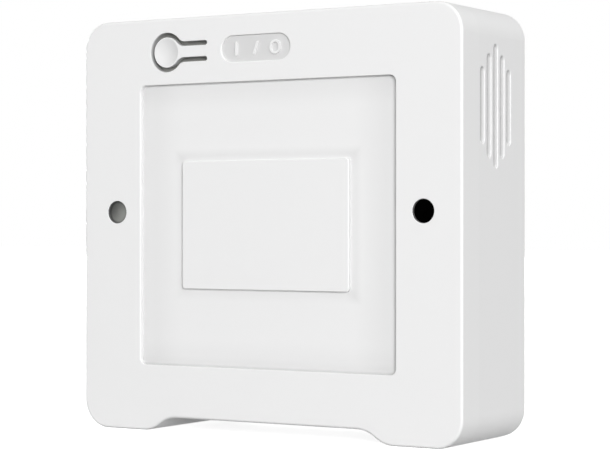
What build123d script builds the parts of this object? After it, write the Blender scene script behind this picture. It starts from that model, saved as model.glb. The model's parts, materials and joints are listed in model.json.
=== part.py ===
"""Indoor air quality monitor: a flat white case that stands on its own two feet or hangs on a wall.

Frame: +X to the right of someone facing the front, +Y from the front face to the rear, +Z up.
The origin is on the ground between the feet, at the middle of the width and depth. Millimetres.
"""

import math
import os

from build123d import *

# ---------------------------------------------------------------- overall case
width = 100.0
height = 95.4
corner_radius = 6.5
wall = 2.0
face_thickness = 2.6
edge_radius = 0.6
cover_depth = 7.8  # how much of the depth the front cover takes
slip = 0.1  # clearance between pieces that slide into each other

# What the depth holds, from the front wall to the battery door
board_gap = 5.6  # between the front wall and the main board
board_thickness = 1.6
board_to_bay = 2.8
bay_wall = 1.5
cell_play = 0.3
cell_radius = 7.25
door_to_cell = 0.5
door_thickness = 1.8
depth = (
    face_thickness
    + board_gap
    + board_thickness
    + board_to_bay
    + bay_wall
    + cell_play
    + 2 * cell_radius
    + door_to_cell
    + door_thickness
)
front_y = -depth / 2
rear_y = depth / 2
parting_y = front_y + cover_depth
front_inner_y = front_y + face_thickness
rear_inner_y = rear_y - wall
floor_gap = 2.0  # from the case's inside to the edges of the main board

# Arch between the feet
arch_height = 3.2
arch_top_half = 24.0
arch_foot_half = 33.3

# Lip of the rear housing, inside the front cover's rim
lip_height = 1.5
lip_thickness = 0.9

# ---------------------------------------------------------------- front face
recess_width = 67.8
recess_height = 64.8
recess_depth = 1.1
recess_corner = 1.5
rim_radius = 0.2  # of the edges around everything let into the face
plate_width = 44.2
plate_height = 29.3
plate_thickness = 0.95
plate_corner = 0.8
plate_edge = 0.2
face_z = height / 2

# Sprung button: a disc on a flexing arm, cut free by a slit
button_x = -26.4
button_drop = 7.85  # below the top of the case
button_z = height - button_drop
disc_radius = 3.5
arm_half_width = 1.3
arm_length = 10.7  # disc centre to the root of the arm
slit_width = 1.05
neck_radius = 2.5  # of the slit's middle line, where the disc runs into the arm
tongue_thickness = 1.5
root_gap = 0.05
slit_rim = 0.12  # rounding of the slit's two edges
dimple_radius = 3.2
dimple_depth = 0.5
pip_radius = 1.2
seal_thickness = 0.6  # grey silicone sheet behind the slit, let into the cover
seal_margin = 1.5
seal_corner = 1.0
seal_hole = 0.4  # clearance round the pip
root_x = button_x + arm_length
seal_y = front_inner_y - seal_thickness
seal_left_x = button_x - disc_radius - slit_width - seal_margin
seal_right_x = root_x + slit_width / 2 + seal_margin
seal_width = seal_right_x - seal_left_x
seal_height = 2 * (disc_radius + slit_width + seal_margin)
seal_place = ((seal_left_x + seal_right_x) / 2, button_z)

# Pill-shaped recess beside the button, with raised on and off marks
pill_x = -2.1
pill_width = 18.4
pill_height = 6.0
pill_depth = 0.45
mark_relief = 0.35
mark_height = 3.2
mark_stroke = 0.5
mark_spacing = 5.2
mark_ring_width = 2.8
slash_lean = 20.0  # degrees

# Light guide at the left and sensor window at the right
lens_x = 40.6
lens_rise = 3.0  # above the middle of the face
lens_z = face_z + lens_rise
lens_bore_radius = 2.6
lens_setback = 0.4
lens_dome = 0.3
flange_radius = 3.4
flange_thickness = 1.2
stem_radius = 1.6
led_gap = 0.1
collar_wall = 1.0
collar_height = 2.0

# ---------------------------------------------------------------- case fixings
pillar_inset = 8.2  # screw axis from the case's sides, top and ground
pillar_radius = 3.5
pillar_setback = 9.6  # of the pillars' ends behind the front
pillar_end_y = front_y + pillar_setback
tube_wall = 1.0
screw_radius = 1.45
screw_length = 9.5
screw_grip = 3.0  # of the rear housing under the screw head
screw_head_radius = 2.75
screw_head_height = 2.0
screw_play = 0.25
thread_gap = 0.02
head_play = 0.4
head_rounding = 0.4  # these four are shares of a screw head's height, radius, radius and height
cross_length = 1.1
cross_width = 0.25
cross_depth = 0.6
tube_radius = screw_head_radius + head_play + tube_wall
screw_places = [
    (side * (width / 2 - pillar_inset), z)
    for side in (-1, 1)
    for z in (pillar_inset, height - pillar_inset)
]

# ---------------------------------------------------------------- main board
board_corner = 1.5
board_y = front_inner_y + board_gap
board_rear_y = board_y + board_thickness
board_width = width - 2 * (wall + floor_gap)
board_bottom_z = arch_height + wall + floor_gap
board_top_z = height - wall - floor_gap
board_height = board_top_z - board_bottom_z
board_notch = 0.8  # clearance to the case screws' tubes
board_screw_radius = 1.0
board_screw_play = 0.15
board_screw_head_radius = 1.9
board_screw_head_height = 1.3
board_screw_length = 6.0
standoff_radius = 2.3
board_screw_inset = 8.0
board_screw_low_z = 20.0
board_screw_rise = 10.0  # of the upper pair above the lenses
board_screw_places = [
    (side * (width / 2 - board_screw_inset), z)
    for side in (-1, 1)
    for z in (board_screw_low_z, lens_z + board_screw_rise)
]

# Electronic parts on the main board, each size as width and height
led_size = (3.5, 2.8)
led_height = 1.0
led_corner = 0.2
chip_height = 0.9
light_sensor_size = (2.0, 2.0)
controller_place = (6.0, 30.0)
controller_size = (7.0, 7.0)
radio_x = 25.0
radio_z = 77.0
radio_size = (14.0, 20.0)
radio_thickness = 0.8
radio_corner = 0.5
shield_drop = 3.0  # shield's middle below the radio board's
shield_size = (12.0, 12.0)
shield_height = 2.0
shield_corner = 0.6
antenna_rise = 7.0  # antenna's middle above the radio board's
antenna_size = (9.0, 2.0)
antenna_height = 1.0
inductor_place = (-8.0, 30.0)
inductor_size = (5.0, 5.0)
inductor_height = 2.9
inductor_corner = 1.0
capacitor_place = (-1.0, 22.0)
capacitor_size = (3.2, 1.6)
capacitor_height = 1.6
capacitor_pitch_x = 6.0
capacitor_pitch_z = 4.5
capacitor_columns = 3
capacitor_rows = 2
sensor_size = 2.6
sensor_inset = 5.0  # from the board's edge to the air sensors
sensor_x = board_width / 2 - sensor_inset
island_slot = 0.8

# Push switch under the button
switch_size = 6.0
switch_corner = 0.5
switch_height = 3.5
plunger_radius = 1.7
plunger_height = 0.8
plunger_foot = 1.0  # inside the switch
plunger_edge = 0.15
plunger_well = 1.6
switch_gap = 0.05
switch_y = board_y - switch_height
plunger_tip_y = switch_y - plunger_height

# ---------------------------------------------------------------- air vents
vent_lengths = (16.6, 22.5, 27.0, 22.5, 16.6)
vent_width = 2.0
vent_pitch = 3.25
vent_rim_radius = 0.27
vent_drop = 21.9  # vent centre below the top of the case
vent_setback = 16.0  # vent centre behind the front
vent_z = height - vent_drop
vent_y = front_y + vent_setback
filter_thickness = 0.4
filter_margin = 1.6
filter_corner = 1.0

# ---------------------------------------------------------------- battery bay
cell_length = 50.5
nub_radius = 2.75
nub_length = 1.2
cell_edge = 0.5
cell_gap = 0.4
contact_thickness = 0.5
contact_half = 5.5
contact_slot = 0.1  # clearance around a contact's tail
tail_width = 3.0
spring_length = 4.5
spring_radius = 3.0
spring_wire = 0.3
spring_turns = 4
bay_z = 28.0
bay_length = cell_length + 2 * contact_thickness + spring_length
bay_height = 4 * cell_radius + 3 * cell_gap
cell_offset_z = cell_radius + cell_gap / 2
ledge_width = 2.0
ledge_thickness = 1.5
ledge_rim = 1.0
door_gap = 0.2
door_corner = 2.0
door_edge = 0.3
door_width = bay_length + 2 * ledge_width
door_height = bay_height + 2 * ledge_width
door_inner_y = rear_y - door_thickness
door_rib_length = 30.0
door_rib_thickness = 1.2
door_rib_depth = 2.0
cell_y = door_inner_y - door_to_cell - cell_radius
bay_floor_y = cell_y - cell_radius - cell_play
bay_front_y = bay_floor_y - bay_wall
scoop_radius = 12.0
scoop_depth = 1.2
grip_pitch = 1.8
grip_length = 14.0
grip_width = 0.8
grip_depth = 0.4
grip_count = 3

# Keyholes for hanging on two wall screws, each with a closed pocket behind it
keyhole_spacing = 60.0
keyhole_z = 61.0
keyhole_radius = 4.0
keyhole_slot_radius = 2.1
keyhole_rise = 7.0
pocket_depth = 5.0
pocket_wall = 1.0
pocket_margin = 1.0
pocket_width = 2 * (keyhole_radius + pocket_margin)
pocket_height = keyhole_rise + pocket_width
pocket_z = keyhole_z + keyhole_rise / 2

# Blank rating label between the keyholes
label_width = 40.0
label_height = 20.0
label_corner = 1.0
label_depth = 0.3
label_thickness = 0.2
label_drop = 25.0
label_z = height - label_drop

# ---------------------------------------------------------------- carbon dioxide module
module_width = 34.0
module_height = 21.0
module_thickness = 1.2
module_corner = 1.0
module_gap = 2.5
module_z = vent_z
module_y = board_rear_y + module_gap
chamber_width = 30.0
chamber_height = 16.0
chamber_depth = 9.0
chamber_wall = 1.2
chamber_corner = 2.0
chamber_edge = 1.0
chamber_y = module_y + module_thickness
membrane_width = 20.0
membrane_height = 7.0
membrane_thickness = 0.3
membrane_corner = 1.0
membrane_y = chamber_y + chamber_depth
pin_size = 0.64
pin_pitch = 2.54
pin_count = 4


# ================================================================ shared shapes
def at_y(y):
    """The XZ plane moved to a depth; extruding a negative amount from it goes to the rear."""
    return Plane.XZ.offset(-y)


def case_outline(inset=0.0):
    """Front view of the case: a rounded square with an arch in its foot, shrunk by inset."""
    with BuildSketch() as outline:
        with BuildLine():
            top = Line((0, arch_height), (arch_top_half, arch_height))
            middle = ((arch_top_half + arch_foot_half) / 2, arch_height / 2)
            upper = TangentArc(top @ 1, middle, tangent=(1, 0))
            lower = TangentArc(upper @ 1, (arch_foot_half, 0), tangent=upper % 1)
            foot = Line(lower @ 1, (width / 2 - corner_radius, 0))
            corner = TangentArc(foot @ 1, (width / 2, corner_radius), tangent=(1, 0))
            side = Line(corner @ 1, (width / 2, height - corner_radius))
            shoulder = TangentArc(side @ 1, (width / 2 - corner_radius, height), tangent=(0, 1))
            Line(shoulder @ 1, (0, height))
            mirror(about=Plane.YZ)
        make_face()
        if inset:
            offset(amount=-inset)
    return outline.sketch


def button_outline(end_x, grow=0.0):
    """The disc and its arm as far as end_x, grown by a clearance."""
    with BuildSketch() as outline:
        with Locations((button_x, button_z)):
            Circle(disc_radius + grow)
        with Locations(((button_x + end_x) / 2, button_z)):
            Rectangle(end_x - button_x, 2 * (arm_half_width + grow))
        necks = outline.vertices().group_by(Axis.X)[-2]
        fillet(necks, neck_radius + slit_width / 2 - grow)
    return outline.sketch


def keyhole_outline():
    """A round hole for a screw's head, running up into a narrow slot for its shank."""
    with BuildSketch() as outline:
        Circle(keyhole_radius)
        with Locations((0, keyhole_rise / 2)):
            Rectangle(2 * keyhole_slot_radius, keyhole_rise)
        with Locations((0, keyhole_rise)):
            Circle(keyhole_slot_radius)
    return outline.sketch


def block(place, size, y_from, y_to, corner=0.0):
    """A rectangular piece between two depths, centred at place in the front view."""
    with BuildPart() as made:
        with BuildSketch(at_y(y_from)) as face:
            with Locations(place):
                Rectangle(*size)
            if corner:
                fillet(face.vertices(), corner)
        extrude(amount=y_from - y_to)
    return made


def screws(places, seat_y, radius, length, head_radius, head_height):
    """Pan-head screws driven towards the front, with a cross in each head."""
    with BuildPart() as made:
        with BuildSketch(at_y(seat_y)):
            with Locations(*places):
                Circle(head_radius)
        extrude(amount=-head_height)
        fillet(made.edges().group_by(Axis.Y)[-1], head_height * head_rounding)
        with BuildSketch(at_y(seat_y)):
            with Locations(*places):
                Circle(radius)
        extrude(amount=length)
        with BuildSketch(at_y(seat_y + head_height)):
            with Locations(*places):
                Rectangle(head_radius * cross_length, head_radius * cross_width)
                Rectangle(head_radius * cross_width, head_radius * cross_length)
        extrude(amount=head_height * cross_depth, mode=Mode.SUBTRACT)
    return made


def lens(x, stem_end_y=None):
    """A domed window with a flange behind the face and, for a light guide, a stem."""
    rim = lens_bore_radius - slip / 2
    dome_radius = (rim**2 + lens_dome**2) / (2 * lens_dome)
    top_y = front_y + lens_setback
    flange_y = front_inner_y + flange_thickness
    with BuildPart() as made:
        with BuildSketch(Plane(origin=(x, 0, lens_z), x_dir=(1, 0, 0), z_dir=(0, 0, 1))):
            with BuildLine():
                RadiusArc((0, top_y), (rim, top_y + lens_dome), dome_radius)
                Polyline(
                    (rim, top_y + lens_dome),
                    (rim, front_inner_y),
                    (flange_radius, front_inner_y),
                    (flange_radius, flange_y),
                    (0, flange_y),
                    (0, top_y),
                )
            make_face()
        revolve(axis=Axis((x, 0, lens_z), (0, 1, 0)))
        if stem_end_y is not None:
            with BuildSketch(at_y(flange_y)):
                with Locations((x, lens_z)):
                    Circle(stem_radius)
            extrude(amount=flange_y - stem_end_y)
    return made


def over_the_seal(edge):
    """Whether an edge of the face lies in front of the button's seal."""
    beside = abs(edge.center().X - seal_place[0]) < seal_width / 2
    return beside and edge.center().Z > button_z - seal_height / 2


# ================================================================ front
with BuildPart() as front_cover:
    with BuildSketch(at_y(front_y)):
        add(case_outline())
    extrude(amount=-cover_depth)
    fillet(front_cover.edges().group_by(Axis.Y)[0], edge_radius)
    with BuildSketch(at_y(front_inner_y)):
        add(case_outline(wall))
    extrude(amount=face_thickness - cover_depth, mode=Mode.SUBTRACT)
    with BuildSketch(at_y(parting_y)):
        add(case_outline(wall - lip_thickness - slip))
    extrude(amount=lip_height + slip, mode=Mode.SUBTRACT)
    # Collars round the lens flanges, screw pillars and board standoffs
    with BuildSketch(at_y(front_inner_y)):
        with Locations((-lens_x, lens_z), (lens_x, lens_z)):
            Circle(flange_radius + slip + collar_wall)
            Circle(flange_radius + slip, mode=Mode.SUBTRACT)
    extrude(amount=-collar_height)
    with BuildSketch(at_y(front_inner_y)):
        with Locations(*screw_places):
            Circle(pillar_radius)
    extrude(amount=front_inner_y - pillar_end_y)
    with BuildSketch(at_y(front_inner_y)):
        with Locations(*board_screw_places):
            Circle(standoff_radius)
    extrude(amount=-board_gap)
    with BuildSketch(at_y(pillar_end_y)):
        with Locations(*screw_places):
            Circle(screw_radius + thread_gap)
    extrude(amount=screw_length - screw_grip + slip, mode=Mode.SUBTRACT)
    with BuildSketch(at_y(board_y)):
        with Locations(*board_screw_places):
            Circle(board_screw_radius + thread_gap)
    extrude(amount=board_screw_length - board_thickness + slip, mode=Mode.SUBTRACT)
    # Everything let into the face
    with BuildSketch(at_y(front_y)):
        with Locations((0, face_z)):
            RectangleRounded(recess_width, recess_height, recess_corner)
    extrude(amount=-recess_depth, mode=Mode.SUBTRACT)
    with BuildSketch(at_y(front_y)):
        with Locations((pill_x, button_z)):
            SlotOverall(pill_width, pill_height)
    extrude(amount=-pill_depth, mode=Mode.SUBTRACT)
    with BuildSketch(at_y(front_y)):
        with Locations((-lens_x, lens_z), (lens_x, lens_z)):
            Circle(lens_bore_radius)
        add(button_outline(root_x, slit_width))
        for side in (-1, 1):
            with Locations((root_x, button_z + side * (arm_half_width + slit_width / 2))):
                Circle(slit_width / 2)
    extrude(amount=-face_thickness, mode=Mode.SUBTRACT)
    with BuildSketch(at_y(seal_y)):
        with Locations(seal_place):
            RectangleRounded(seal_width, seal_height, seal_corner)
    extrude(amount=-seal_thickness, mode=Mode.SUBTRACT)
    face = front_cover.faces().filter_by(Axis.Y).sort_by(Axis.Y)[0]
    rims = [edge for loop in face.inner_wires() for edge in loop.edges()]
    slit = [rim for rim in rims if over_the_seal(rim) and abs(rim.center().X - root_x) > root_gap]
    fillet([rim for rim in rims if not over_the_seal(rim)], rim_radius)
    fillet(slit, slit_rim)
    # Raised marks in the pill: a bar, a slash and a ring
    with BuildSketch(at_y(front_y + pill_depth)):
        with Locations((pill_x - mark_spacing, button_z)):
            SlotOverall(mark_height, mark_stroke, rotation=90)
        with Locations((pill_x, button_z)):
            SlotOverall(mark_height, mark_stroke, rotation=90 - slash_lean)
        with Locations((pill_x + mark_spacing, button_z)):
            SlotOverall(mark_height, mark_ring_width, rotation=90)
            SlotOverall(
                mark_height - 2 * mark_stroke,
                mark_ring_width - 2 * mark_stroke,
                rotation=90,
                mode=Mode.SUBTRACT,
            )
    extrude(amount=mark_relief)

with BuildPart() as button_tongue:
    with BuildSketch(at_y(front_y)):
        add(button_outline(root_x - root_gap))
    extrude(amount=-tongue_thickness)
    fillet(button_tongue.edges().group_by(Axis.Y)[0].sort_by(Axis.X)[:-1], slit_rim)
    with BuildSketch(at_y(front_y + tongue_thickness)):
        with Locations((button_x, button_z)):
            Circle(pip_radius)
    extrude(amount=front_y + tongue_thickness - plunger_tip_y + switch_gap)
    dish_radius = (dimple_radius**2 + dimple_depth**2) / (2 * dimple_depth)
    with Locations((button_x, front_y + dimple_depth - dish_radius, button_z)):
        Sphere(dish_radius, mode=Mode.SUBTRACT)

with BuildPart() as button_seal:
    with BuildSketch(at_y(seal_y)):
        with Locations(seal_place):
            RectangleRounded(seal_width - 2 * slip, seal_height - 2 * slip, seal_corner)
        with Locations((button_x, button_z)):
            Circle(pip_radius + seal_hole, mode=Mode.SUBTRACT)
    extrude(amount=-seal_thickness)

plate_y = front_y + recess_depth - plate_thickness
with BuildPart() as info_plate:
    with BuildSketch(at_y(plate_y)):
        with Locations((0, face_z)):
            RectangleRounded(plate_width, plate_height, plate_corner)
    extrude(amount=-plate_thickness)
    fillet(info_plate.edges().group_by(Axis.Y)[0], plate_edge)

light_guide = lens(-lens_x, board_y - led_height - led_gap)
sensor_window = lens(lens_x)

# ================================================================ main board
with BuildPart() as main_board:
    with BuildSketch(at_y(board_y)):
        with Locations((0, (board_bottom_z + board_top_z) / 2)):
            RectangleRounded(board_width, board_height, board_corner)
        for x, z in screw_places:
            corner_z = board_bottom_z if z < face_z else board_top_z
            reach_x = board_width / 2 - abs(x)
            with Locations((x, z)):
                Circle(tube_radius + board_notch, mode=Mode.SUBTRACT)
            with Locations((math.copysign(board_width / 2, x), corner_z)):
                Rectangle(2 * reach_x, 2 * abs(corner_z - z), mode=Mode.SUBTRACT)
        with Locations(*board_screw_places):
            Circle(board_screw_radius + board_screw_play, mode=Mode.SUBTRACT)
        # Thermal slots that set the humidity sensor on a peninsula
        with Locations((-sensor_x, vent_z + sensor_size), (-sensor_x, vent_z - sensor_size)):
            SlotOverall(3 * sensor_size, island_slot, mode=Mode.SUBTRACT)
    extrude(amount=-board_thickness)

board_screws = screws(
    board_screw_places,
    board_rear_y,
    board_screw_radius,
    board_screw_length,
    board_screw_head_radius,
    board_screw_head_height,
)

with BuildPart() as switch_body:
    with BuildSketch(at_y(switch_y)):
        with Locations((button_x, button_z)):
            RectangleRounded(switch_size, switch_size, switch_corner)
    extrude(amount=-switch_height)
    with BuildSketch(at_y(switch_y)):
        with Locations((button_x, button_z)):
            Circle(plunger_radius + slip)
    extrude(amount=-plunger_well, mode=Mode.SUBTRACT)

with BuildPart() as switch_plunger:
    with BuildSketch(at_y(plunger_tip_y)):
        with Locations((button_x, button_z)):
            Circle(plunger_radius)
    extrude(amount=-(plunger_height + plunger_foot))
    fillet(switch_plunger.edges().group_by(Axis.Y)[0], plunger_edge)

status_led = block((-lens_x, lens_z), led_size, board_y - led_height, board_y, led_corner)
light_sensor = block((lens_x, lens_z), light_sensor_size, board_y - chip_height, board_y)
microcontroller = block(controller_place, controller_size, board_y - chip_height, board_y)
radio_y = board_y - radio_thickness
radio_board = block((radio_x, radio_z), radio_size, radio_y, board_y, radio_corner)
radio_shield = block(
    (radio_x, radio_z - shield_drop), shield_size, radio_y - shield_height, radio_y, shield_corner
)
chip_antenna = block(
    (radio_x, radio_z + antenna_rise), antenna_size, radio_y - antenna_height, radio_y
)
power_inductor = block(
    inductor_place, inductor_size, board_y - inductor_height, board_y, inductor_corner
)
with BuildPart() as capacitors:
    with BuildSketch(at_y(board_y)):
        with Locations(capacitor_place):
            with GridLocations(
                capacitor_pitch_x, capacitor_pitch_z, capacitor_columns, capacitor_rows
            ):
                Rectangle(*capacitor_size)
    extrude(amount=capacitor_height)
sensor_top_y = board_rear_y + chip_height
sensor_outline = (sensor_size, sensor_size)
humidity_sensor = block((-sensor_x, vent_z), sensor_outline, board_rear_y, sensor_top_y)
voc_sensor = block((sensor_x, vent_z), sensor_outline, board_rear_y, sensor_top_y)

# ================================================================ carbon dioxide module
co2_board = block(
    (0, module_z), (module_width, module_height), module_y, chamber_y, module_corner
)
with BuildPart() as co2_pins:
    with BuildSketch(at_y(board_rear_y)):
        with Locations((0, module_z)):
            with GridLocations(module_width - 2 * pin_pitch, pin_pitch, 2, pin_count):
                Rectangle(pin_size, pin_size)
    extrude(amount=-module_gap)
with BuildPart() as co2_chamber:
    with BuildSketch(at_y(chamber_y)):
        with Locations((0, module_z)):
            RectangleRounded(chamber_width, chamber_height, chamber_corner)
    extrude(amount=-chamber_depth)
    fillet(co2_chamber.edges().group_by(Axis.Y)[-1], chamber_edge)
    with BuildSketch(at_y(chamber_y)):
        with Locations((0, module_z)):
            Rectangle(chamber_width - 2 * chamber_wall, chamber_height - 2 * chamber_wall)
    extrude(amount=chamber_wall - chamber_depth, mode=Mode.SUBTRACT)
co2_membrane = block(
    (0, module_z),
    (membrane_width, membrane_height),
    membrane_y,
    membrane_y + membrane_thickness,
    membrane_corner,
)

# ================================================================ rear housing
with BuildPart() as rear_housing:
    with BuildSketch(at_y(parting_y)):
        add(case_outline())
    extrude(amount=cover_depth - depth)
    fillet(rear_housing.edges().group_by(Axis.Y)[-1], edge_radius)
    with BuildSketch(at_y(parting_y)):
        add(case_outline(wall))
    extrude(amount=parting_y - rear_inner_y, mode=Mode.SUBTRACT)
    with BuildSketch(at_y(parting_y - lip_height)):
        add(case_outline(wall - lip_thickness))
        add(case_outline(wall), mode=Mode.SUBTRACT)
    extrude(amount=-lip_height)
    # Screw tubes, battery box, the door's ledge and the keyhole pockets
    with BuildSketch(at_y(pillar_end_y)):
        with Locations(*screw_places):
            Circle(tube_radius)
    extrude(amount=pillar_end_y - rear_inner_y)
    with BuildSketch(at_y(bay_front_y)):
        with Locations((0, bay_z)):
            Rectangle(bay_length + 2 * bay_wall, bay_height + 2 * bay_wall)
    extrude(amount=bay_front_y - rear_inner_y)
    with BuildSketch(at_y(door_inner_y - ledge_thickness)):
        with Locations((0, bay_z)):
            Rectangle(door_width + 2 * ledge_rim, door_height + 2 * ledge_rim)
    extrude(amount=door_inner_y - ledge_thickness - rear_inner_y)
    with BuildSketch(at_y(rear_inner_y - pocket_depth)):
        with Locations((-keyhole_spacing / 2, pocket_z), (keyhole_spacing / 2, pocket_z)):
            Rectangle(pocket_width + 2 * pocket_wall, pocket_height + 2 * pocket_wall)
    extrude(amount=-pocket_depth)
    # Hollows
    with BuildSketch(at_y(bay_floor_y)):
        with Locations((0, bay_z)):
            Rectangle(bay_length, bay_height)
    extrude(amount=bay_floor_y - rear_y, mode=Mode.SUBTRACT)
    with BuildSketch(at_y(door_inner_y)):
        with Locations((0, bay_z)):
            RectangleRounded(door_width, door_height, door_corner)
    extrude(amount=-door_thickness, mode=Mode.SUBTRACT)
    with BuildSketch(at_y(rear_inner_y - pocket_depth + pocket_wall)):
        with Locations((-keyhole_spacing / 2, pocket_z), (keyhole_spacing / 2, pocket_z)):
            Rectangle(pocket_width, pocket_height)
    extrude(amount=pocket_wall - pocket_depth, mode=Mode.SUBTRACT)
    with BuildSketch(at_y(rear_inner_y)):
        with Locations((-keyhole_spacing / 2, keyhole_z), (keyhole_spacing / 2, keyhole_z)):
            add(keyhole_outline())
    extrude(amount=-wall, mode=Mode.SUBTRACT)
    with BuildSketch(at_y(rear_y)):
        with Locations((0, label_z)):
            RectangleRounded(label_width, label_height, label_corner)
    extrude(amount=label_depth, mode=Mode.SUBTRACT)
    # Screw holes and the wells for the screw heads
    with BuildSketch(at_y(pillar_end_y)):
        with Locations(*screw_places):
            Circle(screw_radius + screw_play)
    extrude(amount=-screw_grip, mode=Mode.SUBTRACT)
    with BuildSketch(at_y(pillar_end_y + screw_grip)):
        with Locations(*screw_places):
            Circle(screw_head_radius + head_play)
    extrude(amount=pillar_end_y + screw_grip - rear_y, mode=Mode.SUBTRACT)
    # Finger scoop above the battery door
    with Locations((0, rear_y + scoop_radius - scoop_depth, bay_z + door_height / 2)):
        Sphere(scoop_radius, mode=Mode.SUBTRACT)
    # Slots for the contacts' tails
    tail_x = bay_length / 2 - contact_thickness / 2
    with BuildSketch(at_y(bay_front_y)):
        with Locations((tail_x, bay_z - cell_offset_z), (tail_x, bay_z + cell_offset_z)):
            Rectangle(contact_thickness + 2 * contact_slot, tail_width + 2 * contact_slot)
    extrude(amount=-bay_wall, mode=Mode.SUBTRACT)
    # Air vents in both sides
    for side in (-1, 1):
        with BuildSketch(Plane.YZ.offset(side * width / 2)):
            for index, length in enumerate(vent_lengths):
                slot_y = vent_y + (index - (len(vent_lengths) - 1) / 2) * vent_pitch
                with Locations((slot_y, vent_z)):
                    SlotOverall(length, vent_width, rotation=90)
        extrude(amount=-side * wall, mode=Mode.SUBTRACT)
        flanks = rear_housing.faces().filter_by(Axis.X).sort_by(Axis.X)
        flank = flanks[-1] if side > 0 else flanks[0]
        fillet([edge for loop in flank.inner_wires() for edge in loop.edges()], vent_rim_radius)

case_screws = screws(
    screw_places,
    pillar_end_y + screw_grip,
    screw_radius,
    screw_length,
    screw_head_radius,
    screw_head_height,
)

vent_span = (len(vent_lengths) - 1) * vent_pitch + vent_width
vent_filters = {}
for side, name in ((-1, "vent_filter_left"), (1, "vent_filter_right")):
    with BuildPart() as vent_filter:
        with BuildSketch(Plane.YZ.offset(side * (width / 2 - wall))):
            with Locations((vent_y, vent_z)):
                RectangleRounded(
                    vent_span + 2 * filter_margin,
                    max(vent_lengths) + 2 * filter_margin,
                    filter_corner,
                )
        extrude(amount=-side * filter_thickness)
    vent_filters[name] = vent_filter

with BuildPart() as rating_label:
    with BuildSketch(at_y(rear_y - label_depth)):
        with Locations((0, label_z)):
            RectangleRounded(label_width - 2 * slip, label_height - 2 * slip, label_corner)
    extrude(amount=-label_thickness)

# ================================================================ battery bay
with BuildPart() as battery_door:
    with BuildSketch(at_y(door_inner_y)):
        with Locations((0, bay_z)):
            RectangleRounded(
                door_width - 2 * door_gap, door_height - 2 * door_gap, door_corner - door_gap
            )
    extrude(amount=-door_thickness)
    fillet(battery_door.edges().group_by(Axis.Y)[-1], door_edge)
    # Friction ribs that grip the bay's top and bottom walls
    rib_z = bay_height / 2 - slip - door_rib_thickness / 2
    with BuildSketch(at_y(door_inner_y)):
        with Locations((0, bay_z - rib_z), (0, bay_z + rib_z)):
            Rectangle(door_rib_length, door_rib_thickness)
    extrude(amount=door_rib_depth)
    # Grip lines for a fingertip, below the scoop
    with BuildSketch(at_y(rear_y)):
        with Locations((0, bay_z + door_height / 2 - grip_count * grip_pitch)):
            with GridLocations(0, grip_pitch, 1, grip_count):
                SlotOverall(grip_length, grip_width)
    extrude(amount=grip_depth, mode=Mode.SUBTRACT)


def cell(z, side):
    """A round cell lying along X, with its positive nub towards side."""
    flat_x = side * (bay_length / 2 - contact_thickness - cell_length)
    with BuildPart() as made:
        with BuildSketch(Plane.YZ.offset(flat_x)):
            with Locations((cell_y, z)):
                Circle(cell_radius)
        extrude(amount=side * (cell_length - nub_length))
        fillet(made.edges(), cell_edge)
        with BuildSketch(Plane.YZ.offset(flat_x + side * (cell_length - nub_length))):
            with Locations((cell_y, z)):
                Circle(nub_radius)
        extrude(amount=side * nub_length)
    return made


lower_z = bay_z - cell_offset_z
upper_z = bay_z + cell_offset_z
lower_cell = cell(lower_z, 1)
upper_cell = cell(upper_z, -1)


def contact(side, z_middle, z_half, tailed):
    """A flat spring-steel contact on the bay's end wall; a tail reaches the main board."""
    x = side * (bay_length - contact_thickness) / 2
    with BuildPart() as made:
        with BuildSketch(at_y(bay_floor_y)):
            with Locations((x, z_middle)):
                Rectangle(contact_thickness, 2 * z_half)
        extrude(amount=bay_floor_y - (cell_y + contact_half))
        if tailed:
            with BuildSketch(at_y(board_rear_y)):
                with Locations((x, z_middle)):
                    Rectangle(contact_thickness, tail_width)
            extrude(amount=board_rear_y - bay_floor_y)
    return made


bridge_contact = contact(-1, bay_z, cell_offset_z + contact_half, False)
positive_contact = contact(1, lower_z, contact_half, True)
negative_contact = contact(1, upper_z, contact_half, True)

with BuildPart() as contact_springs:
    for side, z in ((-1, lower_z), (1, upper_z)):
        start = (side * (bay_length / 2 - contact_thickness - spring_wire), cell_y, z)
        coil_length = spring_length - 2 * spring_wire
        with BuildLine() as coil:
            Helix(
                pitch=coil_length / spring_turns,
                height=coil_length,
                radius=spring_radius,
                center=start,
                direction=(-side, 0, 0),
            )
        with BuildSketch(Plane(origin=coil.line @ 0, z_dir=coil.line % 0)):
            Circle(spring_wire)
        sweep(path=coil.line, is_frenet=True)

# ================================================================ hand over
pieces = {
    "front_cover": front_cover,
    "button_tongue": button_tongue,
    "button_seal": button_seal,
    "info_plate": info_plate,
    "light_guide": light_guide,
    "sensor_window": sensor_window,
    "main_board": main_board,
    "board_screws": board_screws,
    "switch_body": switch_body,
    "switch_plunger": switch_plunger,
    "status_led": status_led,
    "light_sensor": light_sensor,
    "microcontroller": microcontroller,
    "radio_board": radio_board,
    "radio_shield": radio_shield,
    "chip_antenna": chip_antenna,
    "power_inductor": power_inductor,
    "capacitors": capacitors,
    "humidity_sensor": humidity_sensor,
    "voc_sensor": voc_sensor,
    "co2_board": co2_board,
    "co2_pins": co2_pins,
    "co2_chamber": co2_chamber,
    "co2_membrane": co2_membrane,
    "rear_housing": rear_housing,
    "case_screws": case_screws,
    "vent_filter_left": vent_filters["vent_filter_left"],
    "vent_filter_right": vent_filters["vent_filter_right"],
    "rating_label": rating_label,
    "battery_door": battery_door,
    "lower_cell": lower_cell,
    "upper_cell": upper_cell,
    "bridge_contact": bridge_contact,
    "positive_contact": positive_contact,
    "negative_contact": negative_contact,
    "contact_springs": contact_springs,
}
os.makedirs("parts", exist_ok=True)
for name, piece in pieces.items():
    piece.part.label = name
    export_step(piece.part, f"parts/{name}.step")
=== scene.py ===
"""Finishes, studio and camera for the indoor air quality monitor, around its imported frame."""
import json
import math

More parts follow.
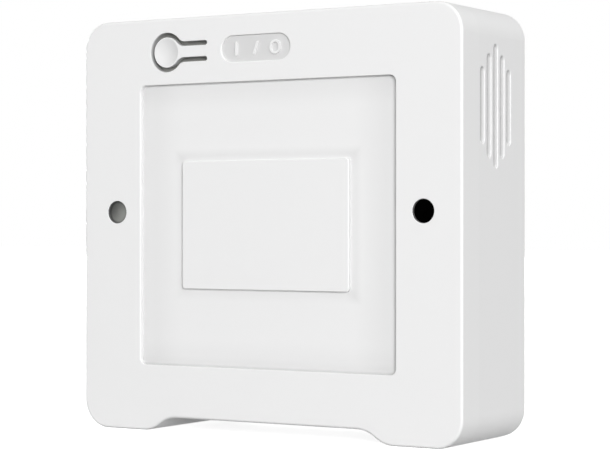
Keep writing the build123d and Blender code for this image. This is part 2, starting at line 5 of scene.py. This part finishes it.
import bpy
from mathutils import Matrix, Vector


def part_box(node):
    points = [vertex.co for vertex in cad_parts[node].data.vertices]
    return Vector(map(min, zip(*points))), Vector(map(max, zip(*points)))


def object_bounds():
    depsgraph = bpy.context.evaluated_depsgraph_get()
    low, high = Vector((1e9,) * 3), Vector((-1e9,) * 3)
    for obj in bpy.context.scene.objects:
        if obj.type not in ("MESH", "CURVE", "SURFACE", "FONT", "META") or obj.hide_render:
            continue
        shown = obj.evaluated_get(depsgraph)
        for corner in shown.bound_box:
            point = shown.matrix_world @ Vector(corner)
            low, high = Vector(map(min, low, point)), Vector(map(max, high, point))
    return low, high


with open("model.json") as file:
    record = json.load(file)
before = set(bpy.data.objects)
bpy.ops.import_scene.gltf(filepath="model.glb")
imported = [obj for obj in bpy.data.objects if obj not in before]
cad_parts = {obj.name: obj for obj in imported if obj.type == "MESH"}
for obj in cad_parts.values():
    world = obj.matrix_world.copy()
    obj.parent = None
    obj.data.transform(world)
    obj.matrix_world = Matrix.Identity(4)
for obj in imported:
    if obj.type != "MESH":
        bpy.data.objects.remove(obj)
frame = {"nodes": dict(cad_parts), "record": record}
cad_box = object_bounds()

MM = 0.001
case_low, case_high = cad_box
case_height = case_high.z


# ================================================================ node helpers
def new_material(name):
    """An empty node material, with its tree and its output node."""
    material = bpy.data.materials.new(name)
    material.use_nodes = True
    tree = material.node_tree
    tree.nodes.clear()
    return material, tree, tree.nodes.new("ShaderNodeOutputMaterial")


def add_node(tree, kind, **values):
    """A node with its properties and input sockets set by name."""
    node = tree.nodes.new(kind)
    for key, value in values.items():
        if key in node.inputs:
            node.inputs[key].default_value = value
        else:
            setattr(node, key, value)
    return node


def feed(tree, socket, value):
    """Joins an output to a socket, or sets the socket to a constant."""
    if isinstance(value, bpy.types.NodeSocket):
        tree.links.new(value, socket)
    else:
        socket.default_value = value


def calc(tree, operation, *values):
    """The output of a math node fed with outputs or numbers."""
    node = add_node(tree, "ShaderNodeMath", operation=operation)
    for socket, value in zip(node.inputs, values):
        feed(tree, socket, value)
    return node.outputs[0]


def ramp(tree, value, start, end, low=0.0, high=1.0):
    """A smooth change from low to high while value goes from start to end."""
    node = add_node(tree, "ShaderNodeMapRange", interpolation_type="SMOOTHSTEP")
    for socket, given in zip(node.inputs, (value, start, end, low, high)):
        feed(tree, socket, given)
    return node.outputs[0]


def pick_number(tree, factor, first, second):
    """The first number where factor is 0 and the second where it is 1."""
    node = add_node(tree, "ShaderNodeMix")
    for index, given in ((0, factor), (2, first), (3, second)):
        feed(tree, node.inputs[index], given)
    return node.outputs[0]


def blend_colours(tree, factor, first, second):
    """The first colour where factor is 0 and the second where it is 1."""
    node = add_node(tree, "ShaderNodeMix", data_type="RGBA")
    for index, given in ((0, factor), (6, first), (7, second)):
        feed(tree, node.inputs[index], given)
    return node.outputs[2]


def scale_colour(tree, colour, factor):
    """A colour or a place times a number."""
    node = add_node(tree, "ShaderNodeVectorMath", operation="SCALE")
    feed(tree, node.inputs[0], colour[:3] if isinstance(colour, tuple) else colour)
    feed(tree, node.inputs["Scale"], factor)
    return node.outputs[0]


def split_place(tree):
    """Object coordinates, whole and as X, Y and Z in millimetres."""
    place = add_node(tree, "ShaderNodeTexCoord").outputs["Object"]
    parts = add_node(tree, "ShaderNodeSeparateXYZ")
    tree.links.new(scale_colour(tree, place, 1 / MM), parts.inputs[0])
    return place, *parts.outputs


def noise(tree, place, scale, detail=2.0, **values):
    """Cloudy noise from 0 to 1, with about scale cells to the metre."""
    node = add_node(tree, "ShaderNodeTexNoise", Scale=scale, Detail=detail, **values)
    tree.links.new(place, node.inputs["Vector"])
    return node.outputs["Fac"]


def new_group(name, inputs, outputs):
    """A shader node group with named float or colour inputs and typed outputs."""
    group = bpy.data.node_groups.new(name, "ShaderNodeTree")
    for socket, value in inputs.items():
        kind = "NodeSocketColor" if isinstance(value, tuple) else "NodeSocketFloat"
        made = group.interface.new_socket(socket, in_out="INPUT", socket_type=kind)
        made.default_value = value
    for socket, kind in outputs.items():
        group.interface.new_socket(socket, in_out="OUTPUT", socket_type=kind)
    return group, group.nodes.new("NodeGroupInput"), group.nodes.new("NodeGroupOutput")


def rgb(red, green, blue):
    return (red, green, blue, 1.0)


def grey(level):
    return rgb(level, level, level)


GILT = rgb(0.9, 0.62, 0.22)
TAN = rgb(0.36, 0.25, 0.16)


# ================================================================ masks
def near(tree, value, centre, half):
    """1 where value is within half of centre, else 0."""
    return calc(tree, "COMPARE", value, centre, half)


def between(tree, value, low, high):
    """1 where value is from low to high, else 0."""
    return near(tree, value, (low + high) / 2, (high - low) / 2)


def every(tree, *masks):
    """The product of several masks."""
    product = masks[0]
    for mask in masks[1:]:
        product = calc(tree, "MULTIPLY", product, mask)
    return product


def from_line(tree, value, middle_value):
    """How far value is from a middle value, on either side."""
    return calc(tree, "ABSOLUTE", calc(tree, "SUBTRACT", value, middle_value))


def distance(tree, across, up):
    """The length of the line from the middle to a point across and up from it."""
    squares = [calc(tree, "MULTIPLY", side, side) for side in (across, up)]
    return calc(tree, "SQRT", calc(tree, "ADD", *squares))


def shade(tree, mask, tone):
    """1 outside the mask and tone inside it."""
    return calc(tree, "MULTIPLY_ADD", mask, calc(tree, "SUBTRACT", tone, 1.0), 1.0)


# ================================================================ shared effects
SKIN_OUTPUTS = {
    "Colour": "NodeSocketColor",
    "Roughness": "NodeSocketFloat",
    "Normal": "NodeSocketVector",
}


def skin_group(group, result, colour, gloss, height, depth, strength):
    """Sends a colour, a roughness and the bump of a height to a group's outputs."""
    bump = add_node(group, "ShaderNodeBump", Distance=depth)
    feed(group, bump.inputs["Strength"], strength)
    feed(group, bump.inputs["Height"], height)
    for socket, value in zip(SKIN_OUTPUTS, (colour, gloss, bump.outputs["Normal"])):
        feed(group, result.inputs[socket], value)
    return group


def moulded_skin(grain_scale=2600.0, cloud_scale=22.0, gloss_drift=0.06, depth=0.02 * MM):
    """Spark-eroded moulding texture: a fine even grain, with a faint drift of tone and gloss."""
    group, given, result = new_group(
        "moulded_skin",
        {"Colour": grey(0.8), "Drift": 0.01, "Gloss": 0.4, "Grain": 0.1},
        SKIN_OUTPUTS,
    )
    place = split_place(group)[0]
    grain = noise(group, place, grain_scale, Roughness=0.6)
    cloud = calc(group, "SUBTRACT", noise(group, place, cloud_scale), 0.5)
    drift = calc(group, "MULTIPLY_ADD", cloud, given.outputs["Drift"], 1.0)
    colour = scale_colour(group, given.outputs["Colour"], drift)
    gloss = calc(group, "MULTIPLY_ADD", cloud, gloss_drift, given.outputs["Gloss"])
    return skin_group(group, result, colour, gloss, grain, depth, given.outputs["Grain"])


def rolled_metal(
    stretch=(400.0, 400.0, 9000.0), patch_scale=260.0, patch_range=(0.45, 0.7),
    dull_tone=-0.3, dull_gloss=0.3, line_gloss=0.12, depth=0.01 * MM, strength=0.25,
):
    """Plated sheet and turned metal: lengthwise rolling lines, faint scratches and dull patches."""
    group, given, result = new_group(
        "rolled_metal", {"Colour": grey(0.8), "Gloss": 0.3, "Dullness": 0.5}, SKIN_OUTPUTS
    )
    place = split_place(group)[0]
    drawn = add_node(group, "ShaderNodeMapping", Scale=stretch)
    group.links.new(place, drawn.inputs["Vector"])
    lines = noise(group, drawn.outputs[0], 1.0, 3.0)
    patches = noise(group, place, patch_scale, 4.0, Roughness=0.65)
    dull = calc(group, "MULTIPLY", ramp(group, patches, *patch_range), given.outputs["Dullness"])
    tone = calc(group, "MULTIPLY_ADD", dull, dull_tone, 1.0)
    colour = scale_colour(group, given.outputs["Colour"], tone)
    gloss = calc(group, "MULTIPLY_ADD", dull, dull_gloss, given.outputs["Gloss"])
    gloss = calc(group, "MULTIPLY_ADD", lines, line_gloss, gloss)
    return skin_group(group, result, colour, gloss, lines, depth, strength)


def speckled_body(
    speck_scale=3500.0, speck_range=(0.52, 0.66), speck_gloss=0.15, depth=0.02 * MM, strength=0.3,
):
    """Pressed or fired powder and epoxy: close specks of a second tone over a matt grain."""
    group, given, result = new_group(
        "speckled_body",
        {"Colour": grey(0.5), "Speck colour": grey(0.2), "Specks": 0.5, "Gloss": 0.5},
        SKIN_OUTPUTS,
    )
    coarse = noise(group, split_place(group)[0], speck_scale, 3.0, Roughness=0.7)
    amount = calc(group, "MULTIPLY", ramp(group, coarse, *speck_range), given.outputs["Specks"])
    colour = blend_colours(group, amount, given.outputs["Colour"], given.outputs["Speck colour"])
    gloss = calc(group, "MULTIPLY_ADD", amount, speck_gloss, given.outputs["Gloss"])
    return skin_group(group, result, colour, gloss, coarse, depth, strength)


MOULDED_SKIN = moulded_skin()
ROLLED_METAL = rolled_metal()
SPECKLED_BODY = speckled_body()


def skinned(name, group, values, sockets, colour=None):
    """A material whose shader takes colour, roughness and normal from a shared group."""
    material, tree, output = new_material(name)
    shader = add_node(tree, "ShaderNodeBsdfPrincipled", **sockets)
    skin = tree.nodes.new("ShaderNodeGroup")
    skin.node_tree = group
    for socket, value in values.items():
        skin.inputs[socket].default_value = value
    if colour:
        feed(tree, skin.inputs["Colour"], colour(tree))
    for socket, source in zip(("Base Color", "Roughness", "Normal"), SKIN_OUTPUTS):
        feed(tree, shader.inputs[socket], skin.outputs[source])
    feed(tree, output.inputs["Surface"], shader.outputs["BSDF"])
    return material


def plastic(name, gloss, grain, drift=0.01, colour=None, base=grey(0.8), sockets=None):
    """Moulded plastic, rubber, felt or film."""
    values = {"Colour": base, "Drift": drift, "Gloss": gloss, "Grain": grain}
    return skinned(name, MOULDED_SKIN, values, sockets or {}, colour)


def metal(name, base, gloss, dullness):
    """Bare or plated metal."""
    values = {"Colour": base, "Gloss": gloss, "Dullness": dullness}
    return skinned(name, ROLLED_METAL, values, {"Metallic": 1.0})


def powder(name, base, speck, specks, gloss, colour=None):
    """Ceramic, ferrite, epoxy or phosphor resin."""
    values = {"Colour": base, "Speck colour": speck, "Specks": specks, "Gloss": gloss}
    return skinned(name, SPECKLED_BODY, values, {}, colour)


# ================================================================ where things are, in millimetres
def middle(node):
    """The middle of a node's box."""
    low, high = (Vector(corner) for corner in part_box(node))
    return (low + high) / 2 / MM


def span(node):
    """The width, depth and height of a node's box."""
    low, high = (Vector(corner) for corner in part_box(node))
    return (high - low) / MM


FRONT_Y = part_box("front_cover")[0][1] / MM
SIDE_X = case_high.x / MM
MIDDLE_Z = (case_low.z + case_high.z) / 2 / MM
DISC = middle("switch_plunger")
VENTS = middle("vent_filter_right")
LENS_PLACE = middle("sensor_window")
PLATE_HALF = span("info_plate") / 2
RECESS_HALF_X, RECESS_HALF_Z = 33.9, 32.4
PILL_X, PILL_HALF_X, PILL_HALF_Z = -2.1, 9.2, 3.0
BORE_RADIUS = 2.6
DISC_RADIUS = 3.5
SLIT_REACH = 5.0
SLIT_END_X = -15.1
VENT_HALF_Y, VENT_HALF_Z = 8.2, 14.0
SLACK = 0.1

# From and to, behind the front face.
RECESS_FLOOR = (1.0, 1.2)
RECESS_WALLS = (0.2, 1.0)
PLATE_EDGE = (0.34, 1.06)
PILL_FLOOR = (0.33, 0.57)
DISH = (-0.05, 0.65)
BORES = (0.08, 2.72)
SLIT = (0.1, 2.7)
FRONT_COVER_DEPTH = 7.8

# From and to, behind each side.
VENT_WALLS = (0.1, 2.1)

# ================================================================ case
CASE_WHITE = 0.885
# Painted shade, as shares of the white: the pill's floor, the rear housing behind the front cover,
# the button's dish, the lens bores, the plate's edge and the recess walls.
PAINTED_SHADE_TONES = {
    "pill": 0.79,
    "housing": 0.985,
    "dish": 0.91,
    "bore": 0.15,
    "plate_edge": 0.8,
    "recess_wall": 0.92,
}
# Painted shade in the button slit and the side vents, deeper inwards: where the shade starts and
# ends, and its tone at each end.
SLIT_FADE = (0.15, 0.7, 1.0, 0.55)
VENT_FADE = (1.3, 0.45, 0.5, 1.0)
# Painted shade on the recess floor beside the plate: its tone, its deeper tone on the lit right and
# top sides, and the width in millimetres over which these blend.
BESIDE_PLATE_TONE = 0.95
LIT_BESIDE_PLATE_TONE = 0.85
LIT_BLEND = 1.5
# Painted shade in the button's dish: where it starts and where it is full, inside the disc's rim,
# in millimetres.
DISH_RIM = (0.2, 0.35)


def recess_painted_shade(tree, x, rise, from_x, from_z, from_plate):
    """Painted shade on the recess's floor, darker towards its walls and beside the plate."""
    right = ramp(tree, x, PLATE_HALF.x - LIT_BLEND, PLATE_HALF.x + LIT_BLEND)
    top = ramp(tree, rise, PLATE_HALF.z - LIT_BLEND, PLATE_HALF.z + LIT_BLEND)
    lit = calc(tree, "MAXIMUM", right, top)
    deeper = LIT_BESIDE_PLATE_TONE - BESIDE_PLATE_TONE
    beside_plate = calc(tree, "MULTIPLY_ADD", lit, deeper, BESIDE_PLATE_TONE)
    # Rows of painted shade: a distance, where its shade starts, how far the shade reaches and its
    # first tone.
    fades = (
        (from_x, RECESS_HALF_X, -12.0, 0.905),
        (from_z, RECESS_HALF_Z, -7.0, 0.925),
        (from_plate, 0.0, 3.2, beside_plate),
        (x, -RECESS_HALF_X, 2.5, 0.92),
        (rise, -RECESS_HALF_Z, 2.5, 0.89),
        (rise, -RECESS_HALF_Z, 0.7, 0.8),
    )
    tones = [
        ramp(tree, value, start, start + reach, tone, 1.0) for value, start, reach, tone in fades
    ]
    return every(tree, *tones)


def case_white_with_painted_shade(tree):
    """White, with painted shade: darker in the recess, on its walls and the plate's edge, in the
    pill, dish, bores, slit and vents, and a little darker over the rear housing.
    """
    _, x, y, z = split_place(tree)
    depth = calc(tree, "SUBTRACT", y, FRONT_Y)
    rise = calc(tree, "SUBTRACT", z, MIDDLE_Z)
    from_x, from_z = (calc(tree, "ABSOLUTE", value) for value in (x, rise))
    below_side = calc(tree, "SUBTRACT", SIDE_X, from_x)
    from_plate = calc(
        tree,
        "MAXIMUM",
        calc(tree, "SUBTRACT", from_x, PLATE_HALF.x),
        calc(tree, "SUBTRACT", from_z, PLATE_HALF.z),
    )
    across = calc(tree, "SUBTRACT", x, DISC.x)
    up = calc(tree, "SUBTRACT", z, DISC.z)
    radius = distance(tree, across, up)
    from_lens = distance(
        tree,
        calc(tree, "SUBTRACT", from_x, LENS_PLACE.x),
        calc(tree, "SUBTRACT", z, LENS_PLACE.z),
    )

    def box(half_x, half_z, depths):
        """1 in a box round the middle of the front face, between two depths."""
        return every(
            tree,
            near(tree, x, 0.0, half_x),
            near(tree, rise, 0.0, half_z),
            between(tree, depth, *depths),
        )

    in_pill = every(
        tree,
        near(tree, x, PILL_X, PILL_HALF_X),
        near(tree, up, 0.0, PILL_HALF_Z),
        between(tree, depth, *PILL_FLOOR),
    )
    in_dish = every(
        tree,
        ramp(tree, radius, *(DISC_RADIUS - inset for inset in DISH_RIM)),
        between(tree, depth, *DISH),
    )
    in_bore = every(
        tree,
        calc(tree, "LESS_THAN", from_lens, BORE_RADIUS + SLACK),
        between(tree, depth, *BORES),
    )
    on_recess_wall = every(
        tree,
        box(RECESS_HALF_X + SLACK / 2, RECESS_HALF_Z + SLACK / 2, RECESS_WALLS),
        calc(tree, "GREATER_THAN", from_plate, 1.0),
    )
    in_slit = every(
        tree,
        calc(tree, "GREATER_THAN", radius, DISC_RADIUS - SLACK / 2),
        between(tree, x, DISC.x - SLIT_REACH, SLIT_END_X),
        near(tree, up, 0.0, SLIT_REACH),
        between(tree, depth, *SLIT),
    )
    in_vent = every(
        tree,
        near(tree, y, VENTS.y, VENT_HALF_Y),
        near(tree, z, VENTS.z, VENT_HALF_Z),
        between(tree, below_side, *VENT_WALLS),
    )
    # Painted shade: the white in each region is multiplied by its tone.
    tone = 1.0
    for mask, level in (
        (
            box(RECESS_HALF_X, RECESS_HALF_Z, RECESS_FLOOR),
            recess_painted_shade(tree, x, rise, from_x, from_z, from_plate),
        ),
        (in_pill, PAINTED_SHADE_TONES["pill"]),
        # Painted shade: the rear housing a little darker than the front cover.
        (calc(tree, "GREATER_THAN", depth, FRONT_COVER_DEPTH), PAINTED_SHADE_TONES["housing"]),
        (in_dish, PAINTED_SHADE_TONES["dish"]),
        (in_bore, PAINTED_SHADE_TONES["bore"]),
        (box(PLATE_HALF.x + SLACK, PLATE_HALF.z + SLACK, PLATE_EDGE), PAINTED_SHADE_TONES["plate_edge"]),
        (on_recess_wall, PAINTED_SHADE_TONES["recess_wall"]),
        (in_slit, ramp(tree, depth, *SLIT_FADE)),
        (in_vent, ramp(tree, below_side, *VENT_FADE)),
    ):
        tone = calc(tree, "MULTIPLY", tone, shade(tree, mask, level))
    return scale_colour(tree, grey(CASE_WHITE), tone)


# ================================================================ windows
def light_guide_colour(tree, least=0.2, most=1.15, rim_width=0.7, rim_tone=0.45):
    """Smoky grey, with painted light towards its lower right and painted shade round its rim."""
    _, x, _, z = split_place(tree)
    centre, radius = middle("light_guide"), span("light_guide").x / 2
    across = calc(tree, "SUBTRACT", x, centre.x)
    up = calc(tree, "SUBTRACT", z, centre.z)
    # Painted light: lighter towards the lower right.
    painted_light = ramp(tree, calc(tree, "SUBTRACT", across, up), -radius, radius, least, most)
    from_centre = distance(tree, across, up)
    # Painted shade round the rim.
    rim = ramp(tree, from_centre, BORE_RADIUS - rim_width, BORE_RADIUS, 1.0, rim_tone)
    return scale_colour(tree, rgb(0.205, 0.21, 0.197), calc(tree, "MULTIPLY", painted_light, rim))


# ================================================================ electronics
def board_colour(
    tree, area_scale=130.0, track_pitch=0.35, track_half=0.12, poured=0.62,
    hole_scale=330.0, hole_size=0.1,
):
    """Green solder mask over bundles of tracks, copper areas and plated holes."""
    place, x, _, z = split_place(tree)
    areas = add_node(
        tree, "ShaderNodeTexVoronoi", distance="CHEBYCHEV", Scale=area_scale, Randomness=0.6
    )
    holes = add_node(tree, "ShaderNodeTexVoronoi", Scale=hole_scale, Randomness=0.9)
    for cells in (areas, holes):
        tree.links.new(place, cells.inputs["Vector"])
    chance = add_node(tree, "ShaderNodeSeparateColor")
    tree.links.new(areas.outputs["Color"], chance.inputs[0])
    along = pick_number(tree, calc(tree, "GREATER_THAN", chance.outputs[0], 0.5), x, z)
    track = near(tree, calc(tree, "PINGPONG", along, track_pitch), track_pitch, track_half)
    pour = calc(tree, "GREATER_THAN", chance.outputs[1], poured)
    copper = calc(tree, "MAXIMUM", track, pour)
    masked = blend_colours(tree, copper, rgb(0.008, 0.075, 0.032), rgb(0.02, 0.15, 0.055))
    hole = calc(tree, "LESS_THAN", holes.outputs["Distance"], hole_size)
    return blend_colours(tree, hole, masked, rgb(0.75, 0.52, 0.2))


def capacitor_colour(tree, spacing=6.0, body_half=1.15):
    """Tan ceramic with tinned ends."""
    _, x, _, _ = split_place(tree)
    from_middle = calc(tree, "SUBTRACT", x, middle("capacitors").x)
    offset = calc(tree, "PINGPONG", from_middle, spacing / 2)
    end = calc(tree, "GREATER_THAN", offset, body_half)
    return blend_colours(tree, end, TAN, grey(0.55))


def inductor_colour(tree, edge_width=0.3, chip_scale=1500.0, chip_range=(0.45, 0.6)):
    """Dark sintered ferrite, lighter where the pressed edges have chipped."""
    place, x, _, z = split_place(tree)
    centre, half = middle("power_inductor"), span("power_inductor").x / 2
    reach = calc(tree, "MAXIMUM", from_line(tree, x, centre.x), from_line(tree, z, centre.z))
    edge = ramp(tree, reach, half - edge_width, half)
    chips = ramp(tree, noise(tree, place, chip_scale), *chip_range)
    return blend_colours(tree, calc(tree, "MULTIPLY", edge, chips), grey(0.04), grey(0.16))


# ================================================================ soft and printed parts
def felt_colour(tree, fibre_scale=900.0, tangle=6.0):
    """Pale fibres crossing over darker gaps."""
    place = split_place(tree)[0]
    runs = []
    for direction in ("X", "Z"):
        wave = add_node(
            tree, "ShaderNodeTexWave", bands_direction=direction,
            Scale=fibre_scale, Distortion=tangle, Detail=3.0,
        )
        tree.links.new(place, wave.inputs["Vector"])
        runs.append(wave.outputs["Fac"])
    return blend_colours(tree, calc(tree, "MAXIMUM", *runs), grey(0.22), grey(0.42))


def label_colour(tree, inset=1.2, line_half=0.12):
    """Blank satin film with a thin grey printed border."""
    _, x, _, z = split_place(tree)
    centre, half = middle("rating_label"), span("rating_label") / 2
    from_sides = calc(tree, "SUBTRACT", half.x, from_line(tree, x, centre.x))
    from_ends = calc(tree, "SUBTRACT", half.z, from_line(tree, z, centre.z))
    border = near(tree, calc(tree, "MINIMUM", from_sides, from_ends), inset, line_half)
    return blend_colours(tree, border, grey(0.72), grey(0.3))


def cell_material(
    name, node, side, band_start=9.0, line_place=8.6, stroke_half=0.4,
    plus_place=17.0, plus_half=1.8, bare_end=1.25,
):
    """A printed sleeve with bands and a plus at its positive end, and bare steel at both ends."""
    material, tree, output = new_material(name)
    place, x, y, z = split_place(tree)
    centre, half = middle(node), span(node) / 2
    along = calc(tree, "MULTIPLY", calc(tree, "SUBTRACT", x, centre.x), side)
    up = calc(tree, "SUBTRACT", z, centre.z)
    strokes = [
        every(tree, near(tree, along, plus_place, long), near(tree, up, 0.0, high))
        for long, high in ((plus_half, stroke_half), (stroke_half, plus_half))
    ]
    outward = calc(tree, "GREATER_THAN", y, centre.y)
    plus = calc(tree, "MULTIPLY", calc(tree, "MAXIMUM", *strokes), outward)
    cloud = noise(tree, place, 120.0, 3.0)
    sleeve = blend_colours(tree, cloud, rgb(0.012, 0.03, 0.06), rgb(0.02, 0.045, 0.085))
    for mask, ink in (
        (calc(tree, "GREATER_THAN", along, band_start), rgb(0.55, 0.2, 0.03)),
        (near(tree, along, line_place, stroke_half), grey(0.6)),
        (plus, grey(0.75)),
    ):
        sleeve = blend_colours(tree, mask, sleeve, ink)
    wrinkle = add_node(tree, "ShaderNodeBump", Distance=0.04 * MM, Strength=0.2)
    feed(tree, wrinkle.inputs["Height"], noise(tree, place, 240.0))
    film = add_node(tree, "ShaderNodeBsdfPrincipled", Roughness=0.22)
    film.inputs["Coat Weight"].default_value = 0.4
    feed(tree, film.inputs["Base Color"], sleeve)
    feed(tree, film.inputs["Normal"], wrinkle.outputs["Normal"])
    steel = add_node(tree, "ShaderNodeBsdfPrincipled", Metallic=1.0)
    steel.inputs["Base Color"].default_value = grey(0.6)
    feed(tree, steel.inputs["Roughness"], ramp(tree, cloud, 0.3, 0.7, 0.2, 0.4))
    bare = calc(tree, "GREATER_THAN", calc(tree, "ABSOLUTE", along), half.x - bare_end)
    mix = add_node(tree, "ShaderNodeMixShader")
    for socket, given in zip(mix.inputs, (bare, film.outputs[0], steel.outputs[0])):
        feed(tree, socket, given)
    feed(tree, output.inputs["Surface"], mix.outputs[0])
    return material


MATERIALS = {
    "case": plastic(
        "white_case_plastic", 0.42, 0.06, colour=case_white_with_painted_shade, sockets={"Specular IOR Level": 0.4}
    ),
    "light_guide": plastic("smoky_light_guide", 0.5, 0.02, colour=light_guide_colour),
    "window": plastic(
        "black_sensor_window", 0.25, 0.0, base=grey(0.0), sockets={"Specular IOR Level": 0.004}
    ),
    "seal": plastic("grey_silicone", 0.6, 0.25, 0.2, base=rgb(0.26, 0.26, 0.247)),
    "gilt_plastic": metal("gold_plated_chamber", GILT, 0.3, 0.5),
    "circuit_board": plastic("green_solder_mask", 0.3, 0.15, 0.15, colour=board_colour),
    "screw": metal("nickel_screw", grey(0.62), 0.22, 0.6),
    "black_moulding": powder("black_epoxy", grey(0.018), grey(0.05), 0.5, 0.5),
    "led": powder("led_resin", rgb(0.8, 0.75, 0.5), rgb(0.8, 0.6, 0.1), 0.4, 0.2),
    "tinned_steel": metal("tinned_steel", grey(0.66), 0.28, 0.8),
    "ceramic": powder("tan_ceramic", TAN, rgb(0.5, 0.4, 0.3), 0.3, 0.45, capacitor_colour),
    "ferrite": powder("dark_ferrite", grey(0.05), grey(0.12), 0.5, 0.55, inductor_colour),
    "gold": metal("gold_plate", GILT, 0.25, 0.4),
    "membrane": plastic("felt_membrane", 0.85, 0.6, 0.1, colour=felt_colour),
    "label": plastic("blank_label_film", 0.35, 0.02, 0.03, colour=label_colour),
    "lower_cell": cell_material("lower_cell_sleeve", "lower_cell", 1.0),
    "upper_cell": cell_material("upper_cell_sleeve", "upper_cell", -1.0),
}

slots = {part["node"]: part["material_slot"] for part in frame["record"]["subparts"]}
for node, piece in frame["nodes"].items():
    material = MATERIALS.get(node) or MATERIALS[slots[node]]
    if not piece.material_slots:
        piece.data.materials.append(material)
    for slot in piece.material_slots:
        slot.material = material


# ================================================================ studio
LAMP_DISTANCE = 2.5

# Azimuth and elevation in degrees, size in metres and power in watts.
LAMPS = {
    "key_lamp": (42.4, 8.0, 1.2, 71.0),
    "top_lamp": (60.0, 65.0, 1.6, 7.0),
    "fill_lamp": (-30.0, 15.0, 1.6, 9.0),
    "rear_lamp": (231.0, 4.0, 1.2, 76.0),
}


def area_lamp(name, azimuth, elevation, size, power):
    """A square soft lamp aimed at the case. Azimuth 0 is in front and 90 at the right."""
    lamp = bpy.data.lights.new(name, "AREA")
    lamp.shape = "SQUARE"
    lamp.size = size
    lamp.energy = power
    holder = bpy.data.objects.new(name, lamp)
    bpy.context.scene.collection.objects.link(holder)
    turn, rise = math.radians(azimuth), math.radians(elevation)
    level = math.cos(rise)
    back = Vector((math.sin(turn) * level, -math.cos(turn) * level, math.sin(rise)))
    holder.location = Vector((0, 0, case_height / 2)) + back * LAMP_DISTANCE
    holder.rotation_euler = back.to_track_quat("Z", "Y").to_euler()


def white_for_the_camera(tree, lit, white):
    """Mixes a surface's own light with plain white for camera, glossy and transmitted rays."""
    path = add_node(tree, "ShaderNodeLightPath")
    seen = path.outputs["Is Camera Ray"]
    for ray in ("Is Glossy Ray", "Is Transmission Ray"):
        seen = calc(tree, "MAXIMUM", seen, path.outputs[ray])
    mix = add_node(tree, "ShaderNodeMixShader")
    for socket, given in zip(mix.inputs, (seen, lit, white)):
        feed(tree, socket, given)
    return mix.outputs[0]


world = bpy.data.worlds.new("studio_air")
world.use_nodes = True
air = world.node_tree
air.nodes.clear()
dome = add_node(air, "ShaderNodeBackground", Color=grey(1.0), Strength=0.2)
backdrop = add_node(air, "ShaderNodeBackground", Color=grey(1.0), Strength=1.0)
air.links.new(
    white_for_the_camera(air, dome.outputs[0], backdrop.outputs[0]),
    air.nodes.new("ShaderNodeOutputWorld").inputs["Surface"],
)
bpy.context.scene.world = world

bpy.ops.object.select_all(action="DESELECT")
bpy.ops.mesh.primitive_plane_add(size=6.0, location=(0, 0, 0))
floor = bpy.context.object
floor.name = "floor"
material, tree, output = new_material("pale_floor")
dim = add_node(tree, "ShaderNodeBsdfDiffuse", Color=grey(0.14))
pale = add_node(tree, "ShaderNodeBsdfDiffuse", Color=grey(0.9))
lift = add_node(tree, "ShaderNodeEmission", Color=grey(1.0), Strength=0.85)
lifted = add_node(tree, "ShaderNodeAddShader")
for socket, source in zip(lifted.inputs, (pale, lift)):
    tree.links.new(source.outputs[0], socket)
floor_light = white_for_the_camera(tree, dim.outputs[0], lifted.outputs[0])
tree.links.new(floor_light, output.inputs["Surface"])
floor.data.materials.append(material)

for name, values in LAMPS.items():
    area_lamp(name, *values)

# ================================================================ camera
CAMERA_AZIMUTH = 31.42
CAMERA_PLACE = (0.2396, -0.3897, case_height / 2)
LENS = 116.97

camera_data = bpy.data.cameras.new("camera")
camera_data.sensor_width = 36.0
camera_data.lens = LENS
camera_data.clip_start = 0.01
camera_data.clip_end = 20.0
camera = bpy.data.objects.new("camera", camera_data)
bpy.context.scene.collection.objects.link(camera)
camera.location = CAMERA_PLACE
camera.rotation_euler = (math.radians(90), 0, math.radians(CAMERA_AZIMUTH))
bpy.context.scene.camera = camera
bpy.context.scene.view_settings.view_transform = "Standard"
